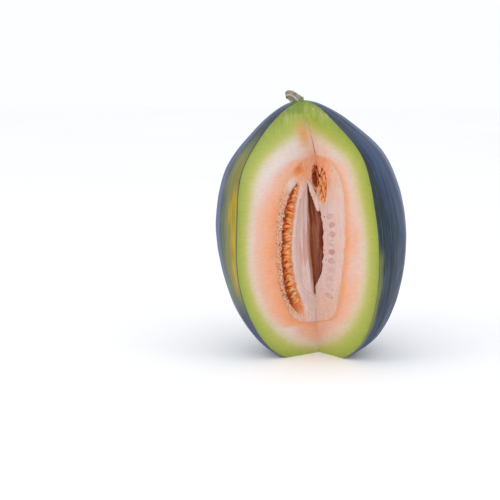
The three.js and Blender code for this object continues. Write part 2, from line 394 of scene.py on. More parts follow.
def waxy_rind():
    """Melon rind: smooth, dark blue-green, with a waxy bloom.

    The eye gets fine pale streaks that run from stem to blossom end, broader dark and bluish bands, a soft
    bluish sheen where the surface turns away, corky cracks round the stem and a yellow ground spot.
    """
    material, tree, shader = new_material("waxy_melon_rind")
    around = add(tree, "Attribute", {}, out="Fac", attribute_name="around")
    along = add(tree, "Attribute", {}, out="Fac", attribute_name="along")
    ground = add(tree, "Attribute", {}, out="Fac", attribute_name="ground")
    place = add(tree, "TexCoord", {}, out="Object")
    flat = add(tree, "CombineXYZ", {"X": around, "Y": along})

    # angle in radians and distance in millimetres: a streak is about 1.5 mm wide and 60 mm long
    streak_at = add(tree, "Mapping", {"Vector": flat, "Scale": (58, 1 / 55, 1)})
    streak = add(tree, "TexNoise", {"Vector": streak_at, "Scale": 1, "Detail": 5, "Roughness": 0.6})
    band_at = add(tree, "Mapping", {"Vector": flat, "Scale": (9, 1 / 160, 1)})
    band = add(tree, "TexNoise", {"Vector": band_at, "Scale": 1, "Detail": 3, "Roughness": 0.5})
    mottle = add(tree, "TexNoise", {"Vector": place, "Scale": 260, "Detail": 4, "Roughness": 0.65})
    base = add(
        tree, "ValToRGB", {"Fac": band},
        stops=[(0.3, "#0c191b"), (0.46, "#10212a"), (0.57, "#182a3d"), (0.7, "#293d66")],
    )
    lines = add(tree, "MapRange", {"Value": streak, "From Min": 0.47, "From Max": 0.75, "To Max": 0.65})
    colour = add(tree, "Mix", {0: lines, 6: base, 7: "#4b6072"}, out=2, data_type="RGBA")
    speckle = add(tree, "MapRange", {"Value": mottle, "From Min": 0.55, "From Max": 0.8, "To Max": 0.14})
    colour = add(tree, "Mix", {0: speckle, 6: colour, 7: "#6f8178"}, out=2, data_type="RGBA")

    # cork forms in short lengthwise cracks over the last 50 mm before the stem
    crack_at = add(tree, "Mapping", {"Vector": flat, "Scale": (26, 1 / 9, 1)})
    crack = add(tree, "TexNoise", {"Vector": crack_at, "Scale": 1, "Detail": 2, "Roughness": 0.4})
    near_stem = add(
        tree, "MapRange", {"Value": along, "From Min": RIND_LENGTH - 52, "From Max": RIND_LENGTH - 8}
    )
    split = add(tree, "MapRange", {"Value": crack, "From Min": 0.6, "From Max": 0.68})
    cork = add(tree, "Math", {0: near_stem, 1: split}, operation="MULTIPLY")
    colour = add(tree, "Mix", {0: cork, 6: colour, 7: "#8d938c"}, out=2, data_type="RGBA")

    # the ground spot is streaky too, and the skin turns green in the last few millimetres round the stem
    thin = add(
        tree, "MapRange", {"Value": streak, "From Min": 0.3, "From Max": 0.62, "To Min": 0.55, "To Max": 1.1}
    )
    patchy = add(tree, "Math", {0: ground, 1: thin}, operation="MULTIPLY", use_clamp=True)
    soil_side = add(
        tree, "ValToRGB", {"Fac": patchy},
        stops=[(0.0, "#465442"), (0.35, "#6c7038"), (0.7, "#958016"), (1.0, "#ab941a")],
    )
    shown = add(tree, "MapRange", {"Value": patchy, "From Min": 0.02, "From Max": 0.4})
    colour = add(tree, "Mix", {0: shown, 6: colour, 7: soil_side}, out=2, data_type="RGBA")
    pole = add(
        tree, "MapRange", {"Value": along, "From Min": RIND_LENGTH - 19, "From Max": RIND_LENGTH - 11}
    )
    colour = add(tree, "Mix", {0: pole, 6: colour, 7: "#5c7a24"}, out=2, data_type="RGBA")

    height = add(tree, "Math", {0: streak, 1: cork}, operation="ADD")
    plug(tree, shader, {
        "Base Color": colour,
        "Roughness": add(tree, "MapRange", {"Value": mottle, "To Min": 0.34, "To Max": 0.52}),
        "Normal": add(tree, "Bump", {"Height": height, "Strength": 0.25, "Distance": 0.4 * MM}),
        "Specular IOR Level": 0.22, "Coat Weight": 0.05, "Coat Roughness": 0.3,
        "Sheen Weight": 0.3, "Sheen Roughness": 0.35, "Sheen Tint": "#5f7bd6",
    })
    return material


def cut_flesh():
    """Ripe melon flesh, cut with a knife: moist and slightly see-through.

    The eye gets a green layer under the rind, then cream, then salmon towards the pulp, with soft grain along
    the cut, an orange streak beside the crease and a damp, broken shine.
    """
    material, tree, shader = new_material("moist_melon_flesh")
    green = add(tree, "Attribute", {}, out="Fac", attribute_name="green")
    crown = add(tree, "Attribute", {}, out="Fac", attribute_name="crown")
    blush = add(tree, "Attribute", {}, out="Fac", attribute_name="blush")
    streak = add(tree, "Attribute", {}, out="Fac", attribute_name="streak")
    crease = add(tree, "Attribute", {}, out="Fac", attribute_name="crease")
    place = add(tree, "TexCoord", {}, out="Object")
    cloud = add(tree, "TexNoise", {"Vector": place, "Scale": 70, "Detail": 5, "Roughness": 0.6})
    grain = add(tree, "TexNoise", {"Vector": place, "Scale": 620, "Detail": 3, "Roughness": 0.6})
    fibre_at = add(tree, "Mapping", {"Vector": place, "Scale": (160, 160, 620)})
    fibre = add(tree, "TexNoise", {"Vector": fibre_at, "Scale": 1, "Detail": 4, "Roughness": 0.6})
    swing = add(
        tree, "MapRange", {"Value": cloud, "From Min": 0.25, "From Max": 0.75, "To Min": -1, "To Max": 1}
    )

    uneven_blush = add(tree, "Math", {0: swing, 1: 0.1, 2: blush}, operation="MULTIPLY_ADD", use_clamp=True)
    ripe = add(
        tree, "ValToRGB", {"Fac": uneven_blush},
        stops=[(0.0, "#dfd1cb"), (0.22, "#e2c5bb"), (0.45, "#e6b7a0"), (0.7, "#ecad8a"), (0.88, "#eea57c"),
               (1.0, "#ea9c72")],
    )
    depth = add(tree, "Math", {0: green, 1: 1 / 3}, operation="MULTIPLY")
    uneven_depth = add(tree, "Math", {0: swing, 1: 0.03, 2: depth}, operation="MULTIPLY_ADD", use_clamp=True)
    under_rind = add(
        tree, "ValToRGB", {"Fac": uneven_depth},
        stops=[(0.0, "#858d35"), (0.015, "#929d3f"), (0.12, "#9cab48"), (0.25, "#a9b24e"), (0.36, "#b8b766"),
               (0.48, "#c8c08a"), (0.62, "#d2c6a2"), (0.8, "#dccdb6")],
    )

    # towards the stem the green is stringy, with upright strands about 2.5 mm apart, and darker at the top
    strand_at = add(tree, "Mapping", {"Vector": place, "Scale": (420, 420, 45)})
    strand = add(tree, "TexNoise", {"Vector": strand_at, "Scale": 1, "Detail": 3, "Roughness": 0.6})
    pale = add(tree, "MapRange", {"Value": strand, "From Min": 0.5, "From Max": 0.68, "To Max": 0.6})
    dark = add(tree, "MapRange", {"Value": strand, "From Min": 0.46, "From Max": 0.3})
    patch = add(tree, "MapRange", {"Value": cloud, "From Min": 0.42, "From Max": 0.58, "To Max": 0.6})
    top = add(tree, "MapRange", {"Value": crown, "From Min": 0.85, "From Max": 1.0})
    for amount, where, code in ((pale, crown, "#bfc389"), (dark, crown, "#7f9430"), (patch, top, "#5d7f22")):
        share = add(tree, "Math", {0: amount, 1: where}, operation="MULTIPLY")
        under_rind = add(tree, "Mix", {0: share, 6: under_rind, 7: code}, out=2, data_type="RGBA")

    inside = add(
        tree, "MapRange", {"Value": green, "From Min": 1.2, "From Max": 2.7}, interpolation_type="SMOOTHSTEP"
    )
    colour = add(tree, "Mix", {0: inside, 6: under_rind, 7: ripe}, out=2, data_type="RGBA")
    orange = add(tree, "Math", {0: swing, 1: 0.04, 2: streak}, operation="MULTIPLY_ADD", use_clamp=True)
    colour = add(tree, "Mix", {0: orange, 6: colour, 7: "#e2a467"}, out=2, data_type="RGBA")
    # painted shade: the crease is coloured darker brown where the two cut faces meet
    colour = add(tree, "Mix", {0: crease, 6: colour, 7: "#b07a50"}, out=2, data_type="RGBA")
    shade = add(
        tree, "MapRange", {"Value": fibre, "From Min": 0.3, "From Max": 0.7, "To Min": 0.93, "To Max": 1.04}
    )
    height = add(tree, "Math", {0: grain, 1: fibre}, operation="ADD")
    plug(tree, shader, {
        "Base Color": add(
            tree, "Mix", {0: 1.0, 6: colour, 7: shade}, out=2, data_type="RGBA", blend_type="MULTIPLY"
        ),
        "Roughness": add(tree, "MapRange", {"Value": grain, "To Min": 0.28, "To Max": 0.55}),
        "Normal": add(tree, "Bump", {"Height": height, "Strength": 0.3, "Distance": 0.25 * MM}),
        "Specular IOR Level": 0.4, "Coat Weight": 0.06, "Coat Roughness": 0.18,
        "Subsurface Weight": 0.3, "Subsurface Scale": 3 * MM, "Subsurface Radius": (1.0, 0.5, 0.3),
    })
    return material


rows = [body_row(*row) for row in skin_rows]
body = wrapped_sheet(
    rows, ["skin", "left_face", "cavity", "right_face"],
    ["around", "along", "ground", "green", "crown", "blush", "streak", "crease"],
    {"skin": 0, "left_face": 1, "cavity": 1, "right_face": 1}, ["skin", "left_face", "cavity", "right_face"],
)
cut_off = bmesh.ops.bisect_plane(
    body, geom=[*body.verts, *body.edges, *body.faces], plane_co=(0, 0, 0), plane_no=(0, 0, -1),
    clear_outer=True,
)
foot = [item for item in cut_off["geom_cut"] if isinstance(item, bmesh.types.BMEdge)]
flat_spot = bmesh.ops.contextual_create(body, geom=foot)["faces"]
bmesh.ops.triangulate(body, faces=flat_spot)
bmesh.ops.recalc_face_normals(body, faces=body.faces)
finished("melon_rind_and_flesh", body, ["melon_body"], [waxy_rind(), cut_flesh()])

# ---- Pulp around the hollow ---------------------------------------------------------------------------
# The soft middle that carries the seeds. Three lobes leave a tall hollow between them. The left cut runs
# through a row of seeds, the right cut just beside one, and a pocket is torn open at the top right.

# the furrow of seeds, along the left cut from the crease
FURROW_OUT = [
    [20, 50], [31, 66], [36.5, 92], [39, 120], [38, 142], [35.5, 157], [31, 167], [27, 174], [22, 180],
    [18, 186],
]
FURROW_IN = [
    [12, 56], [19, 74], [24.5, 98], [26.5, 125], [24.5, 147], [22.5, 160], [20.5, 168], [19, 176], [16, 186],
]
# the lips of the hollow and the fold between its walls, sideways from the crease, and the hollow's depth
LEFT_LIP = [
    [0.5, 58], [0, 64], [-6, 70], [-11, 77], [-13.5, 86], [-15.8, 101], [-16.8, 128], [-16, 145],
    [-14.4, 160], [-11.8, 168], [-9.4, 173], [-7.4, 177.5], [-7.2, 183], [0, 202],
]
RIGHT_LIP = [
    [0.5, 58], [1.2, 64], [1.8, 74], [5, 81], [8.6, 91], [9.6, 111], [8.8, 133], [5.4, 150], [1.6, 160],
    [-2.8, 168], [-5.2, 173], [-7.0, 177.5], [-7.2, 183], [0, 202],
]
CREVICE = [[0.5, 58], [0.2, 75], [-0.6, 88], [-2.2, 112], [-4.5, 137], [-6.5, 160], [-7.2, 178], [0, 202]]
HOLLOW_DEPTH = [
    [0, 58], [1, 64], [5, 78], [9, 95], [11, 120], [10.5, 148], [7, 165], [1.5, 174], [0, 180], [0, 202],
]
tables = {
    name: reader(table)
    for name, table in {
        "furrow_out": FURROW_OUT, "furrow_in": FURROW_IN, "left_lip": LEFT_LIP, "right_lip": RIGHT_LIP,
        "crevice": CREVICE, "depth": HOLLOW_DEPTH,
    }.items()
}
PULP_LOW, PULP_HIGH, PULP_ROWS = 37, 203, 255
NET_COLUMNS, HOLLOW_STEPS, SHELF_COLUMNS, RIGHT_COLUMNS, BACK_COLUMNS = 76, 11, 12, 64, 30
# the torn openings; reach is from the crease, to the right
POCKET = {"reach": 9, "height": 173, "half_width": 7, "half_height": 18, "slant": -0.13}
MOUTH = {"reach": -0.8, "height": 182, "half_width": 4.2, "half_height": 11.5, "slant": -0.1}
SEAM_DEPTH = -0.1  # here the pulp lies over the edge of the firm flesh, and then dips under it


def seam_depth(reach, edge):
    return SEAM_DEPTH + 0.7 * step_up(edge - 1.3, edge, reach)


def oval(spot, reach, height):
    """1 in the middle of an oval spot, 0 at its edge and outside."""
    centre = spot["reach"] + spot["slant"] * (height - spot["height"])
    across = ((reach - centre) / spot["half_width"]) ** 2
    upward = ((height - spot["height"]) / spot["half_height"]) ** 2
    return max(1 - across - upward, 0)


def left_pulp(reach, height, edge):
    """Depth behind the left cut, orange tone of the pulp there, and darkness there, which is painted shade.
    """
    outer, inner = tables["furrow_out"](height)[0], tables["furrow_in"](height)[0]
    live = step_up(46, 58, height) * step_up(181, 171, height)
    wavy = outer + 1.2 * noise.noise(Vector((31, 0, height / 3.5)))
    into = min(step_up(wavy + 1.5, wavy - 2, reach), step_up(inner - 2, inner + 2.5, reach)) * live
    net = step_up(outer - 1.5, outer + 1.5, reach) * step_up(edge + 0.5, edge - 2.5, reach)
    net *= step_up(46, 58, height) * step_up(178, 164, height)
    rough = noise.noise(Vector((reach / 1.5, 3, height / 1.3)))
    specks = step_up(0.25, 0.5, noise.noise(Vector((reach / 1.1, 33, height / 1.0))))
    soft = noise.noise(Vector((reach / 6, 9, height / 7)))
    seam = step_up(edge - 2.5, edge - 0.5, reach)
    depth = 2.5 * into + net * (0.2 + 0.9 * rough + 1.0 * specks) + 0.4 * soft
    depth += 0.4 * noise.noise(Vector((reach / 2.5, 1, height / 3)))
    mouth = oval(MOUTH, -reach, height)
    mouth = max(mouth + 0.9 * rough * min(mouth * 4, 1), 0)
    depth += 3.2 * math.sqrt(mouth)
    depth += (seam_depth(reach, edge) - depth) * seam
    share = min(max((reach - inner) / max(outer - inner, 1), 0), 1)
    upper = step_up(166, 182, height)
    blob = hump(22, 6, reach) * hump(191.5, 6, height)
    pale = hump(29, 8, reach) * hump(178, 6, height) + step_up(inner + 1, inner - 3, reach) * (1 - upper)
    tone = 0.24 + 0.14 * upper + into * (0.30 + 0.25 * share) + net * (0.10 + 0.2 * rough) - 0.4 * pale
    tone += blob * (0.3 + 0.5 * max(rough, 0))
    tone += (0.46 - 0.12 * upper - tone) * step_up(edge - 5, edge - 1, reach)
    # painted shade: darker at the furrow's outer wall, in the pits of the net and in the torn mouth
    dark = 0.75 * into * share**3 + 0.75 * net * specks + min(mouth * 2.2, 1) * (0.5 + 0.8 * rough)
    # painted shade: the torn mouth turns brown
    tone += 0.5 * min(mouth * 3, 1)
    return depth, min(max(tone, 0), 1), min(dark, 1) * (1 - seam)


def right_pulp(reach, height, edge):
    """Depth behind the right cut, orange tone of the pulp there, and darkness there, which is painted shade.
    """
    pocket, mouth = oval(POCKET, reach, height), oval(MOUTH, reach, height)
    torn = noise.noise(Vector((reach / 2.2, 7, height / 3)))
    ragged = noise.noise(Vector((reach / 1.4, 17, height / 1.8)))
    soft = noise.noise(Vector((reach / 5, 2, height / 5)))
    fine = noise.noise(Vector((reach / 1.6, 4, height / 1.6)))
    pocket = max(pocket + 0.5 * torn * min(pocket * 4, 1), 0)
    mouth = max(mouth + 0.9 * ragged * min(mouth * 4, 1), 0)
    trough = hump(26, 6, reach) * step_up(56, 66, height) * step_up(150, 138, height)
    seam = step_up(edge - 2.5, edge - 0.5, reach)
    depth = 0.2 + 0.4 * trough + 0.4 * soft + 0.25 * fine
    depth += 2.6 * math.sqrt(pocket) + 0.8 * ragged * min(pocket * 3, 1) + 3.2 * math.sqrt(mouth)
    depth += (seam_depth(reach, edge) - depth) * seam
    upper = step_up(150, 178, height)
    # the mouth's share of tone is brown painted shade; the pocket's share is its orange
    tone = 0.05 + 0.56 * min(pocket * 3, 1) + 0.7 * min(mouth * 3, 1) + 0.05 * soft
    tone += upper * (0.32 * step_up(34, 10, reach) + 0.08) + 0.12 * step_up(80, 60, height)
    tone += 0.5 * hump(42, 6, reach) * hump(76, 5, height) * (1 + ragged)
    tone += (0.38 - 0.08 * upper - tone) * step_up(edge - 5.5, edge - 2.5, reach)
    # painted shade: darker in the deep torn parts of the pocket and in the mouth
    dark = 0.7 * min(pocket * 1.6, 1) * step_up(-0.05, 0.35, ragged)
    dark += min(mouth * 2.2, 1) * (0.5 + 0.8 * ragged)
    # painted shade along the crease, where the two cut faces meet
    crease = 0.5 * hump(0.4, 0.5, reach) * step_up(186, 191, height) * step_up(202, 199, height)
    dark = dark * (1 - seam) + crease
    return depth, min(max(tone, 0), 1), min(max(dark, 0), 1)


def on_cut(side, reach, depth, height):
    crease, outward, inward = cut_at(side, height)
    return crease + outward * reach + inward * depth + Vector((0, 0, height))


def reach_of(side, sideways, height):
    """How far along a cut a point lies that is this far sideways from the crease."""
    _, outward, _ = cut_at(side, height)
    return abs(sideways / outward.x)


def pulp_row(height):
    crease, left_out, _ = cut_at(LEFT, height)
    _, right_out, _ = cut_at(RIGHT, height)
    left_edge, right_edge = pulp_edge(LEFT, height) + 1.0, pulp_edge(RIGHT, height) + 1.0
    ragged = noise.noise(Vector((11, 0, height / 6))) + 0.5 * noise.noise(Vector((13, 0, height / 2)))
    left_lip, right_lip = tables["left_lip"](height)[0], tables["right_lip"](height)[0]
    width = max(right_lip - left_lip, 0)
    open_share = step_up(0.2, 5, width)
    right_lip += 1.1 * ragged * open_share
    left_lip += 0.35 * noise.noise(Vector((17, 0, height / 4))) * open_share
    left_reach = min(reach_of(LEFT, left_lip, height), left_edge)
    lip_side = RIGHT if right_lip > 0 else LEFT
    lip_edge = right_edge if lip_side == RIGHT else left_edge
    right_reach = min(reach_of(lip_side, right_lip, height), lip_edge)
    row = {"left": [], "hollow": [], "shelf": [], "right": [], "back": []}
    for i in range(NET_COLUMNS + 1):
        reach = left_edge + (left_reach - left_edge) * i / NET_COLUMNS
        depth, tone, dark = left_pulp(reach, height, left_edge)
        depth *= 1 - 0.8 * step_up(left_reach + 2.5, left_reach, reach) * open_share
        row["left"].append((on_cut(LEFT, reach, depth, height), (tone, dark, 0)))
    row["left"][-1] = (row["left"][-1][0], (0.05, 0, 0))
    start = row["left"][-1]
    if width > 0.25:
        lip_values = left_pulp(right_reach, height, left_edge) if lip_side == LEFT else right_pulp(
            right_reach, height, right_edge)
        lip_depth = lip_values[0] * (1 - 0.6 * open_share)
        end_place = on_cut(lip_side, right_reach, lip_depth, height)
        deep = tables["depth"](height)[0]
        fold = tables["crevice"](height)[0]
        x0, middle = crease.x, crease.y
        plan = [
            start[0].xy,
            (x0 + left_lip + (fold - left_lip) * 0.20, start[0].y * 0.78 + middle * 0.22),
            (x0 + left_lip + (fold - left_lip) * 0.55, start[0].y * 0.54 + middle * 0.46),
            (x0 + fold - 0.7, start[0].y * 0.26 + middle * 0.74),
            (x0 + fold + 0.2, middle + deep * 0.35),
            (x0 + fold + (right_lip - fold) * 0.22, middle + deep * 0.8),
            (x0 + fold + (right_lip - fold) * 0.65, middle + deep * 0.75),
            (x0 + right_lip + 2.6 * open_share, middle + deep * 0.8),
            (x0 + right_lip + 3.0 * open_share, middle + deep * 0.1),
            end_place.xy,
        ]
        run = smooth_run(plan, HOLLOW_STEPS)
        for i, spot in enumerate(run):
            share = i / (len(run) - 1)
            wall = step_up(0, 0.08, share) * step_up(1, 0.92, share) * open_share
            fold_noise = noise.noise(Vector((share * 14, 21, height / 45)))
            small = noise.noise(Vector((share * 40, 23, height / 12)))
            push = (1.2 * fold_noise + 0.35 * small) * wall
            away = (Vector((x0, middle - 4)) - spot).normalized()
            place = Vector((*(spot + away * push), height))
            place.z += (start[0].z - height) * (1 - share) + (end_place.z - height) * share
            # painted shade: darker in the grooves between the wall's folds, and brown over the back lobe deep
            # in the hollow
            fold_shade = 0.34 * step_up(0.05, -0.25, fold_noise) * step_up(0.04, 0.12, share)
            back = step_up(0.31, 0.40, share) * step_up(1.0, 0.985, share)
            shade = fold_shade + back * (0.45 + 0.4 * step_up(0.4, 0.85, share) + 0.3 * fold_noise)
            row["hollow"].append((place, (0.05, 0, min(max(shade, 0), 1) * open_share)))
        row["hollow"][0] = start
        end_values = (lip_values[1] * 0.5, lip_values[2] * 0.4, 0)
        row["hollow"][-1] = (end_place, end_values)
    else:
        row["hollow"] = [start] * (9 * HOLLOW_STEPS + 1)
        lip_side, right_reach = LEFT, left_reach
    end = row["hollow"][-1]
    shelf_reach = right_reach if lip_side == LEFT else 0
    meet = max(left_pulp(0, height, left_edge)[0], right_pulp(0, height, right_edge)[0])
    corner = crease + Vector((0, meet * 1.2, height))
    corner_values = right_pulp(0, height, right_edge)[1:]
    for i in range(SHELF_COLUMNS + 1):
        if lip_side == RIGHT:
            row["shelf"].append(end)
            continue
        reach = shelf_reach * (1 - i / SHELF_COLUMNS)
        depth, tone, dark = left_pulp(reach, height, left_edge)
        near = step_up(3.5, 0, reach)
        place = on_cut(LEFT, reach, depth, height).lerp(corner, near)
        values = (tone + (corner_values[0] - tone) * near, dark + (corner_values[1] - dark) * near, 0)
        row["shelf"].append((place, values))
    if lip_side == LEFT:
        row["shelf"][0], row["shelf"][-1] = end, (corner, (*corner_values, 0))
    first = row["shelf"][-1]
    begin = right_reach if lip_side == RIGHT else 0
    for i in range(RIGHT_COLUMNS + 1):
        reach = begin + (right_edge - begin) * i / RIGHT_COLUMNS
        depth, tone, dark = right_pulp(reach, height, right_edge)
        if lip_side == RIGHT:
            depth *= 1 - 0.6 * step_up(begin + 2.5, begin, reach) * open_share
        place = on_cut(RIGHT, reach, depth, height)
        if lip_side == LEFT:
            place = place.lerp(corner, step_up(2.5, 0, reach))
        row["right"].append((place, (tone, dark, 0)))
    row["right"][0] = first
    angle = math.atan2(left_out.x, -left_out.y)
    turn = 2 * math.pi - (math.atan2(right_out.x, -right_out.y) - angle)
    for i in range(BACK_COLUMNS + 1):
        share = 1 - i / BACK_COLUMNS
        reach = left_edge * (1 - share) + right_edge * share
        place = crease + bearing(angle - turn * share) * reach + Vector((0, 0, height))
        row["back"].append((place, (0.3, 0, 0)))
    row["back"][0], row["back"][-1] = row["right"][-1], row["left"][0]
    return row


def wet_pulp():
    """Seed pulp: a wet, stringy jelly, pale pink where it lies open and orange to brown where it is deep,
    with painted shade darkening the back of the hollow, its folds, the pits, the torn openings and the
    crease.

    The eye gets lengthwise strings and folds, a broken wet shine, and light that soaks in and comes out
    orange.
    """
    material, tree, shader = new_material("wet_melon_pulp")
    tone = add(tree, "Attribute", {}, out="Fac", attribute_name="tone")
    dark = add(tree, "Attribute", {}, out="Fac", attribute_name="dark")
    hollow = add(tree, "Attribute", {}, out="Fac", attribute_name="hollow")
    place = add(tree, "TexCoord", {}, out="Object")
    string_at = add(tree, "Mapping", {"Vector": place, "Scale": (420, 420, 45)})
    string = add(tree, "TexNoise", {"Vector": string_at, "Scale": 1, "Detail": 4, "Roughness": 0.6})
    lump = add(tree, "TexNoise", {"Vector": place, "Scale": 420, "Detail": 4, "Roughness": 0.6})
    swing = add(
        tree, "MapRange", {"Value": lump, "From Min": 0.25, "From Max": 0.75, "To Min": -0.12, "To Max": 0.12}
    )
    uneven = add(tree, "Math", {0: tone, 1: swing}, operation="ADD", use_clamp=True)
    colour = add(
        tree, "ValToRGB", {"Fac": uneven},
        stops=[(0.0, "#e2c8c3"), (0.22, "#e4bca6"), (0.46, "#ea9f74"), (0.7, "#e08139"), (1.0, "#a84a1a")],
    )
    shade = add(
        tree, "MapRange", {"Value": string, "From Min": 0.3, "From Max": 0.7, "To Min": 0.88, "To Max": 1.06}
    )
    colour = add(tree, "Mix", {0: 1.0, 6: colour, 7: shade}, out=2, data_type="RGBA", blend_type="MULTIPLY")
    # painted shade: the wall turns from pale pink to brown in the folds and over the back lobe
    wall = add(
        tree, "ValToRGB", {"Fac": hollow},
        stops=[(0.0, "#f2dfdb"), (0.28, "#dfbcb5"), (0.45, "#c98560"), (0.7, "#b9602e"), (1.0, "#8a3813")],
    )
    is_wall = add(tree, "MapRange", {"Value": hollow, "From Min": 0.03, "From Max": 0.2})
    colour = add(tree, "Mix", {0: is_wall, 6: colour, 7: wall}, out=2, data_type="RGBA")
    height = add(tree, "Math", {0: string, 1: lump}, operation="ADD")
    # dark mixes in painted shade as dark brown
    plug(tree, shader, {
        "Base Color": add(tree, "Mix", {0: dark, 6: colour, 7: "#9c3f18"}, out=2, data_type="RGBA"),
        "Roughness": add(tree, "MapRange", {"Value": lump, "To Min": 0.2, "To Max": 0.5}),
        "Normal": add(tree, "Bump", {"Height": height, "Strength": 0.5, "Distance": 0.5 * MM}),
        "Specular IOR Level": 0.5, "Coat Weight": 0.35, "Coat Roughness": 0.12,
        "Subsurface Weight": 0.4, "Subsurface Scale": 3 * MM, "Subsurface Radius": (1.0, 0.4, 0.2),
    })
    return material


pulp_rows = [pulp_row(PULP_LOW + (PULP_HIGH - PULP_LOW) * i / PULP_ROWS) for i in range(PULP_ROWS + 1)]
pulp_bm = wrapped_sheet(
    pulp_rows, ["left", "hollow", "shelf", "right", "back"], ["tone", "dark", "hollow"],
    dict.fromkeys(["left", "hollow", "shelf", "right", "back"], 0), ["back", "left"],
)
open_ends = [edge for edge in pulp_bm.edges if edge.is_boundary]
bmesh.ops.holes_fill(pulp_bm, edges=open_ends, sides=0)
bmesh.ops.recalc_face_normals(pulp_bm, faces=pulp_bm.faces)
pulp = wet_pulp()
finished("seed_pulp", pulp_bm, [], [pulp])

# ---- Seeds --------------------------------------------------------------------------------------------
# Each seed sits in a plump sac of orange jelly, tied to the wall by a strand. A row of sacs fills the
# furrow of the left cut and a few stand in the torn pocket. Under the right cut they still lie in pale pulp.

SAC, BEAD = (18, 14), (8, 6)  # segments around and along
carrier = bpy.data.meshes.new("sac_carrier")  # takes each finished sac into the row that it joins


def soft_lump(target, shape, place, values):
    """Adds a lumpy sac or bead to a bmesh. A value that is a function takes the place along it, -1 to 1."""
    lump = bmesh.new()
    layers = [lump.verts.layers.float.new(name) for name in ("share", "pale")]
    around, along = shape["segments"]
    bmesh.ops.create_uvsphere(lump, u_segments=around, v_segments=along, radius=1)
    for vert in lump.verts:
        spot = vert.co.copy()
        swell = 1 + shape["lumps"] * noise.noise(spot * 1.7 + Vector((shape["seed"] * 5.3, 0, 0)))
        width = swell * (1 - shape["taper"] * spot.z)
        vert.co = place @ Vector((
            spot.z * shape["size"][0] / 2,
            spot.x * width * shape["size"][1] / 2 + shape["bend"] * spot.z**2,
            spot.y * width * shape["size"][2] / 2,
        ))
        for layer, value in zip(layers, values):
            vert[layer] = value(spot.z) if callable(value) else value
    bmesh.ops.recalc_face_normals(lump, faces=lump.faces)
    for face in lump.faces:
        face.smooth = True
    lump.to_mesh(carrier)
    lump.free()
    target.from_mesh(carrier)


def cut_frame(side, reach, height, depth, turn):
    """A frame on a cut: X along it, Y up and Z out into the open quarter, turned about Z."""
    _, outward, inward = cut_at(side, height)
    place = on_cut(side, reach, depth, height)
    axes = Matrix((outward, Vector((0, 0, 1)), -inward)).transposed().to_4x4()
    return Matrix.Translation(place) @ axes @ Matrix.Rotation(turn, 4, "Z")


def seed_sac():
    """Seed in its sac: a pale seed inside orange jelly, so the middle is lighter, and painted shadow darkens
    the tied end.
    """
    material, tree, shader = new_material("orange_seed_sacs")
    share = add(tree, "Attribute", {}, out="Fac", attribute_name="share")
    pale = add(tree, "Attribute", {}, out="Fac", attribute_name="pale")
    place = add(tree, "TexCoord", {}, out="Object")
    cloud = add(tree, "TexNoise", {"Vector": place, "Scale": 330, "Detail": 4, "Roughness": 0.6})
    swing = add(
        tree, "MapRange",
        {"Value": cloud, "From Min": 0.25, "From Max": 0.75, "To Min": -0.25, "To Max": 0.25},
    )
    uneven = add(tree, "Math", {0: share, 1: swing}, operation="ADD", use_clamp=True)
    orange = add(
        tree, "ValToRGB", {"Fac": uneven},
        stops=[(0.0, "#f7bb8e"), (0.3, "#f2954f"), (0.6, "#e8762a"), (0.85, "#bf4e18"), (1.0, "#94330f")],
    )
    mauve = add(
        tree, "ValToRGB", {"Fac": uneven},
        stops=[(0.0, "#dec3bc"), (0.4, "#d0aba4"), (0.75, "#c0948e"), (1.0, "#bd8a7a")],
    )
    plug(tree, shader, {
        "Base Color": add(tree, "Mix", {0: pale, 6: orange, 7: mauve}, out=2, data_type="RGBA"),
        "Normal": add(tree, "Bump", {"Height": cloud, "Strength": 0.4, "Distance": 0.4 * MM}),
        "Roughness": 0.42, "Specular IOR Level": 0.35, "Coat Weight": 0.2, "Coat Roughness": 0.12,
        "Subsurface Weight": 0.4, "Subsurface Scale": 2 * MM, "Subsurface Radius": (1.0, 0.45, 0.15),
    })
    return material


# [reach from the crease, height] where a row of seeds runs, as in the fruit
SEED_LINE = reader(
    [[22, 60], [27.5, 80], [29.5, 105], [29, 130], [26.5, 143], [21, 157], [15, 170], [13, 185]]
)
LEFT_ROW = {"count": 18, "low": 63, "high": 170, "width": 5.0, "thick": 4.0}
RIGHT_ROW = {"count": 10, "low": 66, "high": 144, "length": 12.5, "width": 6.2, "thick": 3.2}
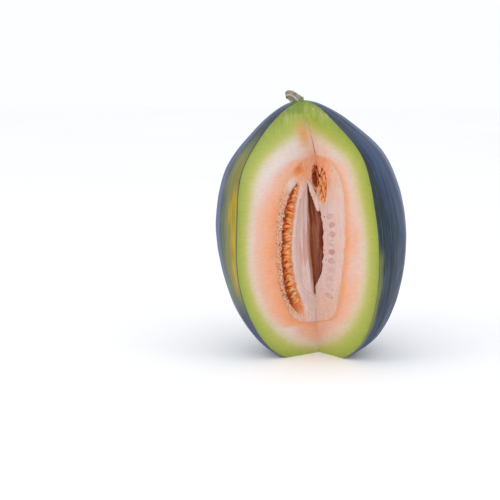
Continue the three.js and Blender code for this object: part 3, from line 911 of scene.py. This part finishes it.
# [reach, height, turn in degrees, length]
POCKET_SEEDS = [
    (9, 185, 75, 9), (12.5, 177, 100, 10), (4.2, 169, 100, 10), (8, 163, 72, 10), (12.8, 166, 80, 10),
    (7.4, 177, 85, 9), (10.3, 171, 95, 10), (5.8, 160, 115, 7), (11.2, 159, 98, 8), (10.8, 181, 83, 7),
]
SEED_FAN = 22  # degrees that the end seeds of a row turn from level
LEFT_STRANDS, TORN_STRANDS = 95, 60
rng = random.Random(7)
sac_material = seed_sac()
bm = bmesh.new()
for i in range(LEFT_ROW["count"] + LEFT_STRANDS):
    main = i < LEFT_ROW["count"]
    share = i / (LEFT_ROW["count"] - 1) if main else rng.uniform(-0.05, 1.08)
    height = LEFT_ROW["low"] + (LEFT_ROW["high"] - LEFT_ROW["low"]) * share
    turn = math.radians(SEED_FAN * (2 * share - 1) * 0.9 + rng.uniform(-19, 19) + 4)
    outer, inner = tables["furrow_out"](height)[0], tables["furrow_in"](height)[0]
    reach = (outer + inner) / 2 + rng.uniform(-0.8, 0.8) + (0.3 if main else rng.uniform(-1, 1))
    length = (outer - inner + 1.5) * (rng.uniform(0.75, 1.05) if main else rng.uniform(0.4, 0.95))
    width = LEFT_ROW["width"] * (rng.uniform(0.6, 1.15) if main else rng.uniform(0.18, 0.5))
    ends = 0.6 + 0.4 * step_up(-0.1, 0.12, share) * step_up(1.1, 0.8, share)
    shape = {
        "segments": SAC, "size": (length * ends, width, LEFT_ROW["thick"] * (1 if main else 0.5)),
        "taper": rng.uniform(0.2, 0.5), "lumps": 0.35, "bend": rng.uniform(-1.8, 0.6), "seed": i,
    }
    depth = rng.uniform(1.2, 2.1) if main else rng.uniform(0.3, 1.6)
    start = rng.uniform(0.0, 0.3) if main else rng.uniform(0.0, 0.45)
    # painted shadow: the sac darkens towards its tied end at the furrow's outer wall
    tone = lambda z, start=start: start + 0.85 * step_up(-0.1, 1.0, z)
    soft_lump(bm, shape, cut_frame(LEFT, reach, height, depth, turn), (tone, 0))
bmesh.ops.transform(bm, matrix=STAND, verts=bm.verts)
finished("seeds_left_row", bm, [f"seed_left_{i + 1:02d}" for i in range(18)], [sac_material])

bm = bmesh.new()
for i, (reach, height, turn, length) in enumerate(POCKET_SEEDS):
    shape = {
        "segments": SAC, "size": (length, rng.uniform(2.2, 3.6), 3.2), "taper": rng.uniform(0.15, 0.5),
        "lumps": 0.35, "bend": rng.uniform(-0.5, 0.5), "seed": i + 50,
    }
    start = rng.uniform(0.1, 0.3)
    # painted shadow: the sac darkens towards its tied end
    tone = lambda z, start=start: start + 0.55 * step_up(0.2, 1.0, z)
    frame_here = cut_frame(RIGHT, reach, height, rng.uniform(0.9, 2.2), math.radians(turn))
    soft_lump(bm, shape, frame_here, (tone, 0))
for i in range(TORN_STRANDS):  # torn fibres that stand in the pocket and across the mouth above it
    spot = rng.choice([POCKET, POCKET, MOUTH])
    upward = rng.uniform(-0.85, 0.85)
    across = rng.uniform(-0.9, 0.9) * math.sqrt(1 - upward**2)
    height = spot["height"] + upward * spot["half_height"]
    reach = spot["reach"] + spot["slant"] * (height - spot["height"]) + across * spot["half_width"]
    side = RIGHT if reach > 0 else LEFT
    shape = {
        "segments": SAC, "size": (rng.uniform(3, 8), rng.uniform(0.7, 1.9), 1.2),
        "taper": rng.uniform(-0.3, 0.5), "lumps": 0.5, "bend": rng.uniform(-0.8, 0.8), "seed": i + 120,
    }
    # painted shade: strands across the torn mouth are darker than those in the pocket
    tint = rng.choice([0.0, 0.2, 0.4, 0.8]) if spot is POCKET else rng.choice([0.3, 0.7, 0.9, 1.0])
    depth, turn = rng.uniform(0.3, 1.8), math.radians(rng.uniform(65, 115))
    soft_lump(bm, shape, cut_frame(side, abs(reach), height, depth, turn), (tint, 0))
bmesh.ops.transform(bm, matrix=STAND, verts=bm.verts)
finished("seeds_in_pocket", bm, [f"seed_pocket_{i + 1:02d}" for i in range(5)], [sac_material])

bm = bmesh.new()
for i in range(RIGHT_ROW["count"]):
    share = i / (RIGHT_ROW["count"] - 1)
    height = RIGHT_ROW["low"] + (RIGHT_ROW["high"] - RIGHT_ROW["low"]) * share
    turn = math.radians(SEED_FAN * (2 * share - 1) * 0.6 + rng.uniform(-6, 6))
    reach = SEED_LINE(height)[0] - 2.5 + rng.uniform(-0.6, 0.6)
    shape = {
        "segments": SAC, "size": (RIGHT_ROW["length"], RIGHT_ROW["width"], RIGHT_ROW["thick"]), "taper": 0.2,
        "lumps": 0.2, "bend": 0.0, "seed": i + 80,
    }
    tint = rng.uniform(0.1, 0.8)
    soft_lump(bm, shape, cut_frame(RIGHT, reach, height, rng.uniform(1.2, 1.5), turn), (tint, 1))
bmesh.ops.transform(bm, matrix=STAND, verts=bm.verts)
finished("seeds_right_row", bm, [f"seed_right_{i + 1:02d}" for i in range(10)], [sac_material])

# ---- Net fibres and droplets --------------------------------------------------------------------------
# Between the left row of seeds and the firm flesh the pulp is a net of fibres. Cut across, it shows as cream
# beads of jelly with dark gaps. The near-white of the beads is partly painted highlight, and the dark brown
# beads are painted shade standing in the gaps.

NET_BEADS, LIP_DROPS = 300, 46
bm = bmesh.new()
for i in range(NET_BEADS):
    height = rng.uniform(60, 172)
    outer, edge = tables["furrow_out"](height)[0], pulp_edge(LEFT, height)
    reach = outer - 1 + (edge + 1 - outer) * rng.random() ** 1.5
    size = 0.5 + 0.9 * rng.random() ** 2
    shape = {
        "segments": BEAD, "size": (size, size * rng.uniform(0.6, 1.3), size), "taper": 0.0, "lumps": 0.2,
        "bend": 0.0, "seed": i,
    }
    depth = left_pulp(reach, height, edge)[0] - size * 0.25
    place = cut_frame(LEFT, reach, height, max(depth, -0.2), rng.uniform(0, math.pi))
    # tone 1 makes a dark brown bead: painted shade in a gap of the net
    soft_lump(bm, shape, place, (rng.choice([0, 0.15, 0.3, 0.6, 1.0]), 0))
for i in range(LIP_DROPS):  # wet drops along the lips of the hollow
    height = rng.uniform(72, 172)
    side, lip = rng.choice([(LEFT, "left_lip"), (RIGHT, "right_lip")])
    sideways = tables[lip](height)[0] + (rng.uniform(-1.5, 0.2) if side == LEFT else rng.uniform(0.8, 3))
    side = RIGHT if sideways > 0 else LEFT
    size = rng.uniform(0.7, 1.5)
    shape = {"segments": BEAD, "size": (size, size, size), "taper": 0.0, "lumps": 0.2, "bend": 0.0, "seed": i}
    place = cut_frame(side, reach_of(side, sideways, height), height, rng.uniform(0.2, 0.6), 0)
    # the drops are near-white, partly painted highlight
    soft_lump(bm, shape, place, (rng.choice([0, 0.1, 0.5]), 0))
bmesh.ops.transform(bm, matrix=STAND, verts=bm.verts)


def pale_jelly():
    """Cut fibre ends: cream to white beads of jelly that catch the light, with the white partly painted
    highlight, and dark brown beads that are painted shade in the gaps.
    """
    material, tree, shader = new_material("pale_fibre_jelly")
    share = add(tree, "Attribute", {}, out="Fac", attribute_name="share")
    place = add(tree, "TexCoord", {}, out="Object")
    cloud = add(tree, "TexNoise", {"Vector": place, "Scale": 500, "Detail": 2})
    mixed = add(tree, "Math", {0: share, 1: cloud}, operation="ADD")
    # low end near-white, partly painted highlight; high end dark brown, painted shade for the gaps
    colour = add(
        tree, "ValToRGB", {"Fac": mixed},
        stops=[(0.3, "#faeee2"), (0.6, "#f6d9bf"), (0.85, "#e9a873"), (1.0, "#9a5028")],
    )
    plug(tree, shader, {
        "Base Color": colour, "Roughness": 0.35, "Coat Weight": 0.5, "Coat Roughness": 0.1,
        "Subsurface Weight": 0.4, "Subsurface Scale": 1.5 * MM,
    })
    return material


finished("net_fibre_beads", bm, [], [pale_jelly()])
bpy.data.meshes.remove(carrier)

# ---- Torn membrane ------------------------------------------------------------------------------------
# A strip of pale skin between two lobes of pulp. The knife left it hanging from the top of the hollow, down
# along the right-hand lip.

MEMBRANE = [  # [sideways from the crease, height, width]
    [-7.4, 178.5, 1.2], [-6.0, 175, 3.4], [-3.8, 169.5, 4.8], [-1.0, 163, 5.4], [1.8, 157, 5.8],
    [3.4, 152.5, 5.4], [4.2, 149.5, 3.8], [4.5, 148, 1.0],
]
MEMBRANE_COLUMNS = 16


def membrane_row(sideways, height, width, run):
    """A flat, wavy loop across the strip; run is the number of steps along it."""
    crease = crease_line(height)
    side = RIGHT if sideways > 0 else LEFT
    reach = reach_of(side, sideways, height)
    middle = Vector((crease[0] + sideways, on_cut(side, reach, 0, height).y * 0.75 - 1.4, height))
    across = Vector((0.86, 0, 0.5))
    ring = []
    for i in range(MEMBRANE_COLUMNS + 1):
        angle = 2 * math.pi * i / MEMBRANE_COLUMNS
        wave = noise.noise(Vector((run / 2.2, math.cos(angle) * 1.5, 41)))
        place = middle + across * (math.cos(angle) * width / 2 * (1 + 0.25 * wave))
        place.y += math.sin(angle) * 0.7 + 0.7 * wave + 0.5 * math.cos(angle)
        ring.append((place, (0.1 + 0.5 * max(wave, 0), 0, 0)))
    ring[-1] = ring[0]
    return {"ring": ring}


membrane_run = smooth_run(MEMBRANE, 8)
membrane_rows = [membrane_row(*knot, i) for i, knot in enumerate(membrane_run)]
bm = wrapped_sheet(membrane_rows, ["ring"], ["tone", "dark", "hollow"], {"ring": 0}, [])
bmesh.ops.holes_fill(bm, edges=[edge for edge in bm.edges if edge.is_boundary], sides=0)
bmesh.ops.recalc_face_normals(bm, faces=bm.faces)
finished("torn_membrane", bm, [], [pulp])

# ---- Stem ---------------------------------------------------------------------------------------------
# The dried stub that joined the fruit to the vine: woody, grooved lengthwise and bent over to -X. Its foot
# flares and splits where it grips the crown.

STEM_ROUTE = [[-2.6, 0, -2], [-4.0, 0, 0.6], [-6.3, 0, 3.4], [-9.4, 0, 5.3], [-12.6, 0, 5.2]]
STEM_LENGTH = 16.3
STEM_RADIUS = [
    [6.6, 0], [6.1, 0.8], [5.7, 2.2], [5.4, 4.2], [5.0, 7], [4.4, 11], [3.9, 14], [3.5, 15.4],
    [3.0, STEM_LENGTH],
]
CROWN = 256
STEM_ROWS, STEM_COLUMNS = 70, 90
stem_spine = smooth_run(STEM_ROUTE, 12)
stem_radius = reader(STEM_RADIUS)


def stem_ring(share):
    """One ring of the stem at a share of its length: lengthwise ribs and grooves, and lobes at the foot."""
    run = STEM_LENGTH * share
    thickness = stem_radius(run)[0]
    position = share * (len(stem_spine) - 1)
    low_index = min(int(position), len(stem_spine) - 2)
    start, end = stem_spine[low_index], stem_spine[low_index + 1]
    centre = start.lerp(end, position - low_index)
    heading = (end - start).normalized()
    side = Vector((0, 1, 0))
    front = side.cross(heading)
    ring = []
    foot = step_up(0.35, 0.0, share)
    for i in range(STEM_COLUMNS + 1):
        angle = 2 * math.pi * (i % STEM_COLUMNS) / STEM_COLUMNS
        twist = angle + 0.5 * share
        ribs = 0.10 * math.cos(5 * twist) + 0.05 * math.cos(11 * twist + 1)
        groove = -0.14 * hump(0, 0.16, abs(math.sin(2.5 * twist + 0.4)))
        rough = 0.05 * noise.noise(Vector((math.cos(twist) * 2, math.sin(twist) * 2, run / 5)))
        lobes = foot * 0.14 * math.cos(7 * angle + 2 * math.sin(angle))
        radius = thickness * (1 + ribs + groove + rough + lobes)
        place = centre + (front * math.cos(angle) + side * math.sin(angle)) * radius
        if share < 0.02:  # the foot's underside follows the crown
            place.z = -1.6 - (radius / 9) ** 2 * 1.6
        # painted shade and highlight: deep is high in the grooves, which darkens them, and low on the ribs,
        # which lightens them
        deep = min(max(0.42 - 1.7 * (ribs + groove), 0), 1)
        ring.append((place + Vector((0, 0, CROWN + 0.3)), (deep, foot)))
    ring[-1] = ring[0]
    return {"ring": ring}


def dried_stem():
    """Dried melon stem: corky grey-brown wood and a green foot that hasn't dried yet, with grooves darkened
    by painted shade and ribs lightened by painted highlight.
    """
    material, tree, shader = new_material("dried_corky_stem")
    deep = add(tree, "Attribute", {}, out="Fac", attribute_name="deep")
    foot = add(tree, "Attribute", {}, out="Fac", attribute_name="foot")
    place = add(tree, "TexCoord", {}, out="Object")
    fibre_at = add(tree, "Mapping", {"Vector": place, "Scale": (900, 900, 250)})
    fibre = add(tree, "TexNoise", {"Vector": fibre_at, "Scale": 1, "Detail": 5, "Roughness": 0.65})
    patch = add(tree, "TexNoise", {"Vector": place, "Scale": 240, "Detail": 3})
    swing = add(
        tree, "MapRange", {"Value": fibre, "From Min": 0.3, "From Max": 0.7, "To Min": -0.3, "To Max": 0.3}
    )
    uneven = add(tree, "Math", {0: deep, 1: swing}, operation="ADD", use_clamp=True)
    # painted shade in the grooves and painted highlight on the ribs, through deep
    bark = add(
        tree, "ValToRGB", {"Fac": uneven},
        stops=[(0.15, "#bdb8ab"), (0.4, "#9c9484"), (0.65, "#746a5c"), (0.95, "#38332a")],
    )
    warm = add(tree, "MapRange", {"Value": patch, "From Min": 0.5, "From Max": 0.7, "To Max": 0.35})
    bark = add(tree, "Mix", {0: warm, 6: bark, 7: "#7d5f4c"}, out=2, data_type="RGBA")
    green = add(
        tree, "ValToRGB", {"Fac": uneven}, stops=[(0.2, "#8f9a66"), (0.6, "#5c6f2c"), (0.9, "#25300f")]
    )
    green_share = add(tree, "MapRange", {"Value": foot, "From Min": 0.35, "From Max": 0.95, "To Max": 0.75})
    plug(tree, shader, {
        "Base Color": add(tree, "Mix", {0: green_share, 6: bark, 7: green}, out=2, data_type="RGBA"),
        "Normal": add(tree, "Bump", {"Height": fibre, "Strength": 0.6, "Distance": 0.5 * MM}),
        "Roughness": 0.75, "Specular IOR Level": 0.3,
    })
    return material


stem_rings = [stem_ring(i / STEM_ROWS) for i in range(STEM_ROWS + 1)]
bm = wrapped_sheet(stem_rings, ["ring"], ["deep", "foot"], {"ring": 0}, [])
ends = bmesh.ops.holes_fill(bm, edges=[edge for edge in bm.edges if edge.is_boundary], sides=0)["faces"]
tip = max(ends, key=lambda face: face.calc_center_median().z)
bmesh.ops.inset_region(bm, faces=[tip], thickness=0.8 * MM, depth=-0.5 * MM)
bmesh.ops.inset_region(bm, faces=[tip], thickness=1.2 * MM, depth=0.3 * MM)
bmesh.ops.recalc_face_normals(bm, faces=bm.faces)
finished("dried_stem", bm, ["stem"], [dried_stem()])

# ---- Studio -------------------------------------------------------------------------------------------
# A pale floor, a pale surround and three soft lamps. The camera looks slightly down at the open side.


def plain_floor():
    """Matt white board, a little uneven in tone."""
    material, tree, shader = new_material("pale_matt_floor")
    place = add(tree, "TexCoord", {}, out="Object")
    cloud = add(tree, "TexNoise", {"Vector": place, "Scale": 3, "Detail": 2})
    colour = add(tree, "ValToRGB", {"Fac": cloud}, stops=[(0.3, "#fcfcfc"), (0.7, "#fefefe")])
    plug(tree, shader, {"Base Color": colour, "Roughness": 0.8})
    return material


floor_bm = bmesh.new()
bmesh.ops.create_grid(floor_bm, x_segments=1, y_segments=1, size=4)
floor_mesh = bpy.data.meshes.new("studio_floor")
floor_bm.to_mesh(floor_mesh)
floor_bm.free()
floor_mesh.materials.append(plain_floor())
floor = bpy.data.objects.new("studio_floor", floor_mesh)
bpy.context.scene.collection.objects.link(floor)

world = bpy.data.worlds.new("pale_surround")
world.use_nodes = True
plug(world.node_tree, world.node_tree.nodes["Background"], {"Color": "#f6f8fc", "Strength": 1.06})
bpy.context.scene.world = world


def soft_lamp(name, place, size, power, colour):
    data = bpy.data.lights.new(name, "AREA")
    data.shape = "RECTANGLE"
    data.size, data.size_y = size
    data.energy = power
    data.color = srgb(colour)[:3]
    lamp = bpy.data.objects.new(name, data)
    lamp.location = place
    lamp.rotation_euler = (Vector((0, 0, 0.13)) - Vector(place)).to_track_quat("-Z", "Y").to_euler()
    bpy.context.scene.collection.objects.link(lamp)


soft_lamp("left_softbox", (-1.1, -0.7, 0.9), (0.7, 1.0), 3.5, "#ffffff")
soft_lamp("right_softbox", (1.2, -0.5, 0.8), (0.7, 1.0), 2.5, "#f4f7ff")
soft_lamp("front_softbox", (0.1, -1.6, 1.1), (1.2, 0.8), 1.5, "#ffffff")

CAMERA_DISTANCE = 1.2
CAMERA_ELEVATION = math.radians(9.5)
FRUIT_MIDDLE = Vector((0.009, 0, 0.113))
camera_data = bpy.data.cameras.new("camera")
camera_data.lens = 88.7
camera = bpy.data.objects.new("camera", camera_data)
back = Vector((0, -math.cos(CAMERA_ELEVATION), math.sin(CAMERA_ELEVATION)))
camera.location = FRUIT_MIDDLE + back * CAMERA_DISTANCE
aim = FRUIT_MIDDLE + Vector((-0.0715, -0.0019, -0.0111))  # leaves the fruit to the right of the middle
camera.rotation_euler = (camera.location - aim).to_track_quat("Z", "Y").to_euler()
bpy.context.scene.collection.objects.link(camera)
bpy.context.scene.camera = camera
bpy.context.scene.view_settings.view_transform = "Standard"
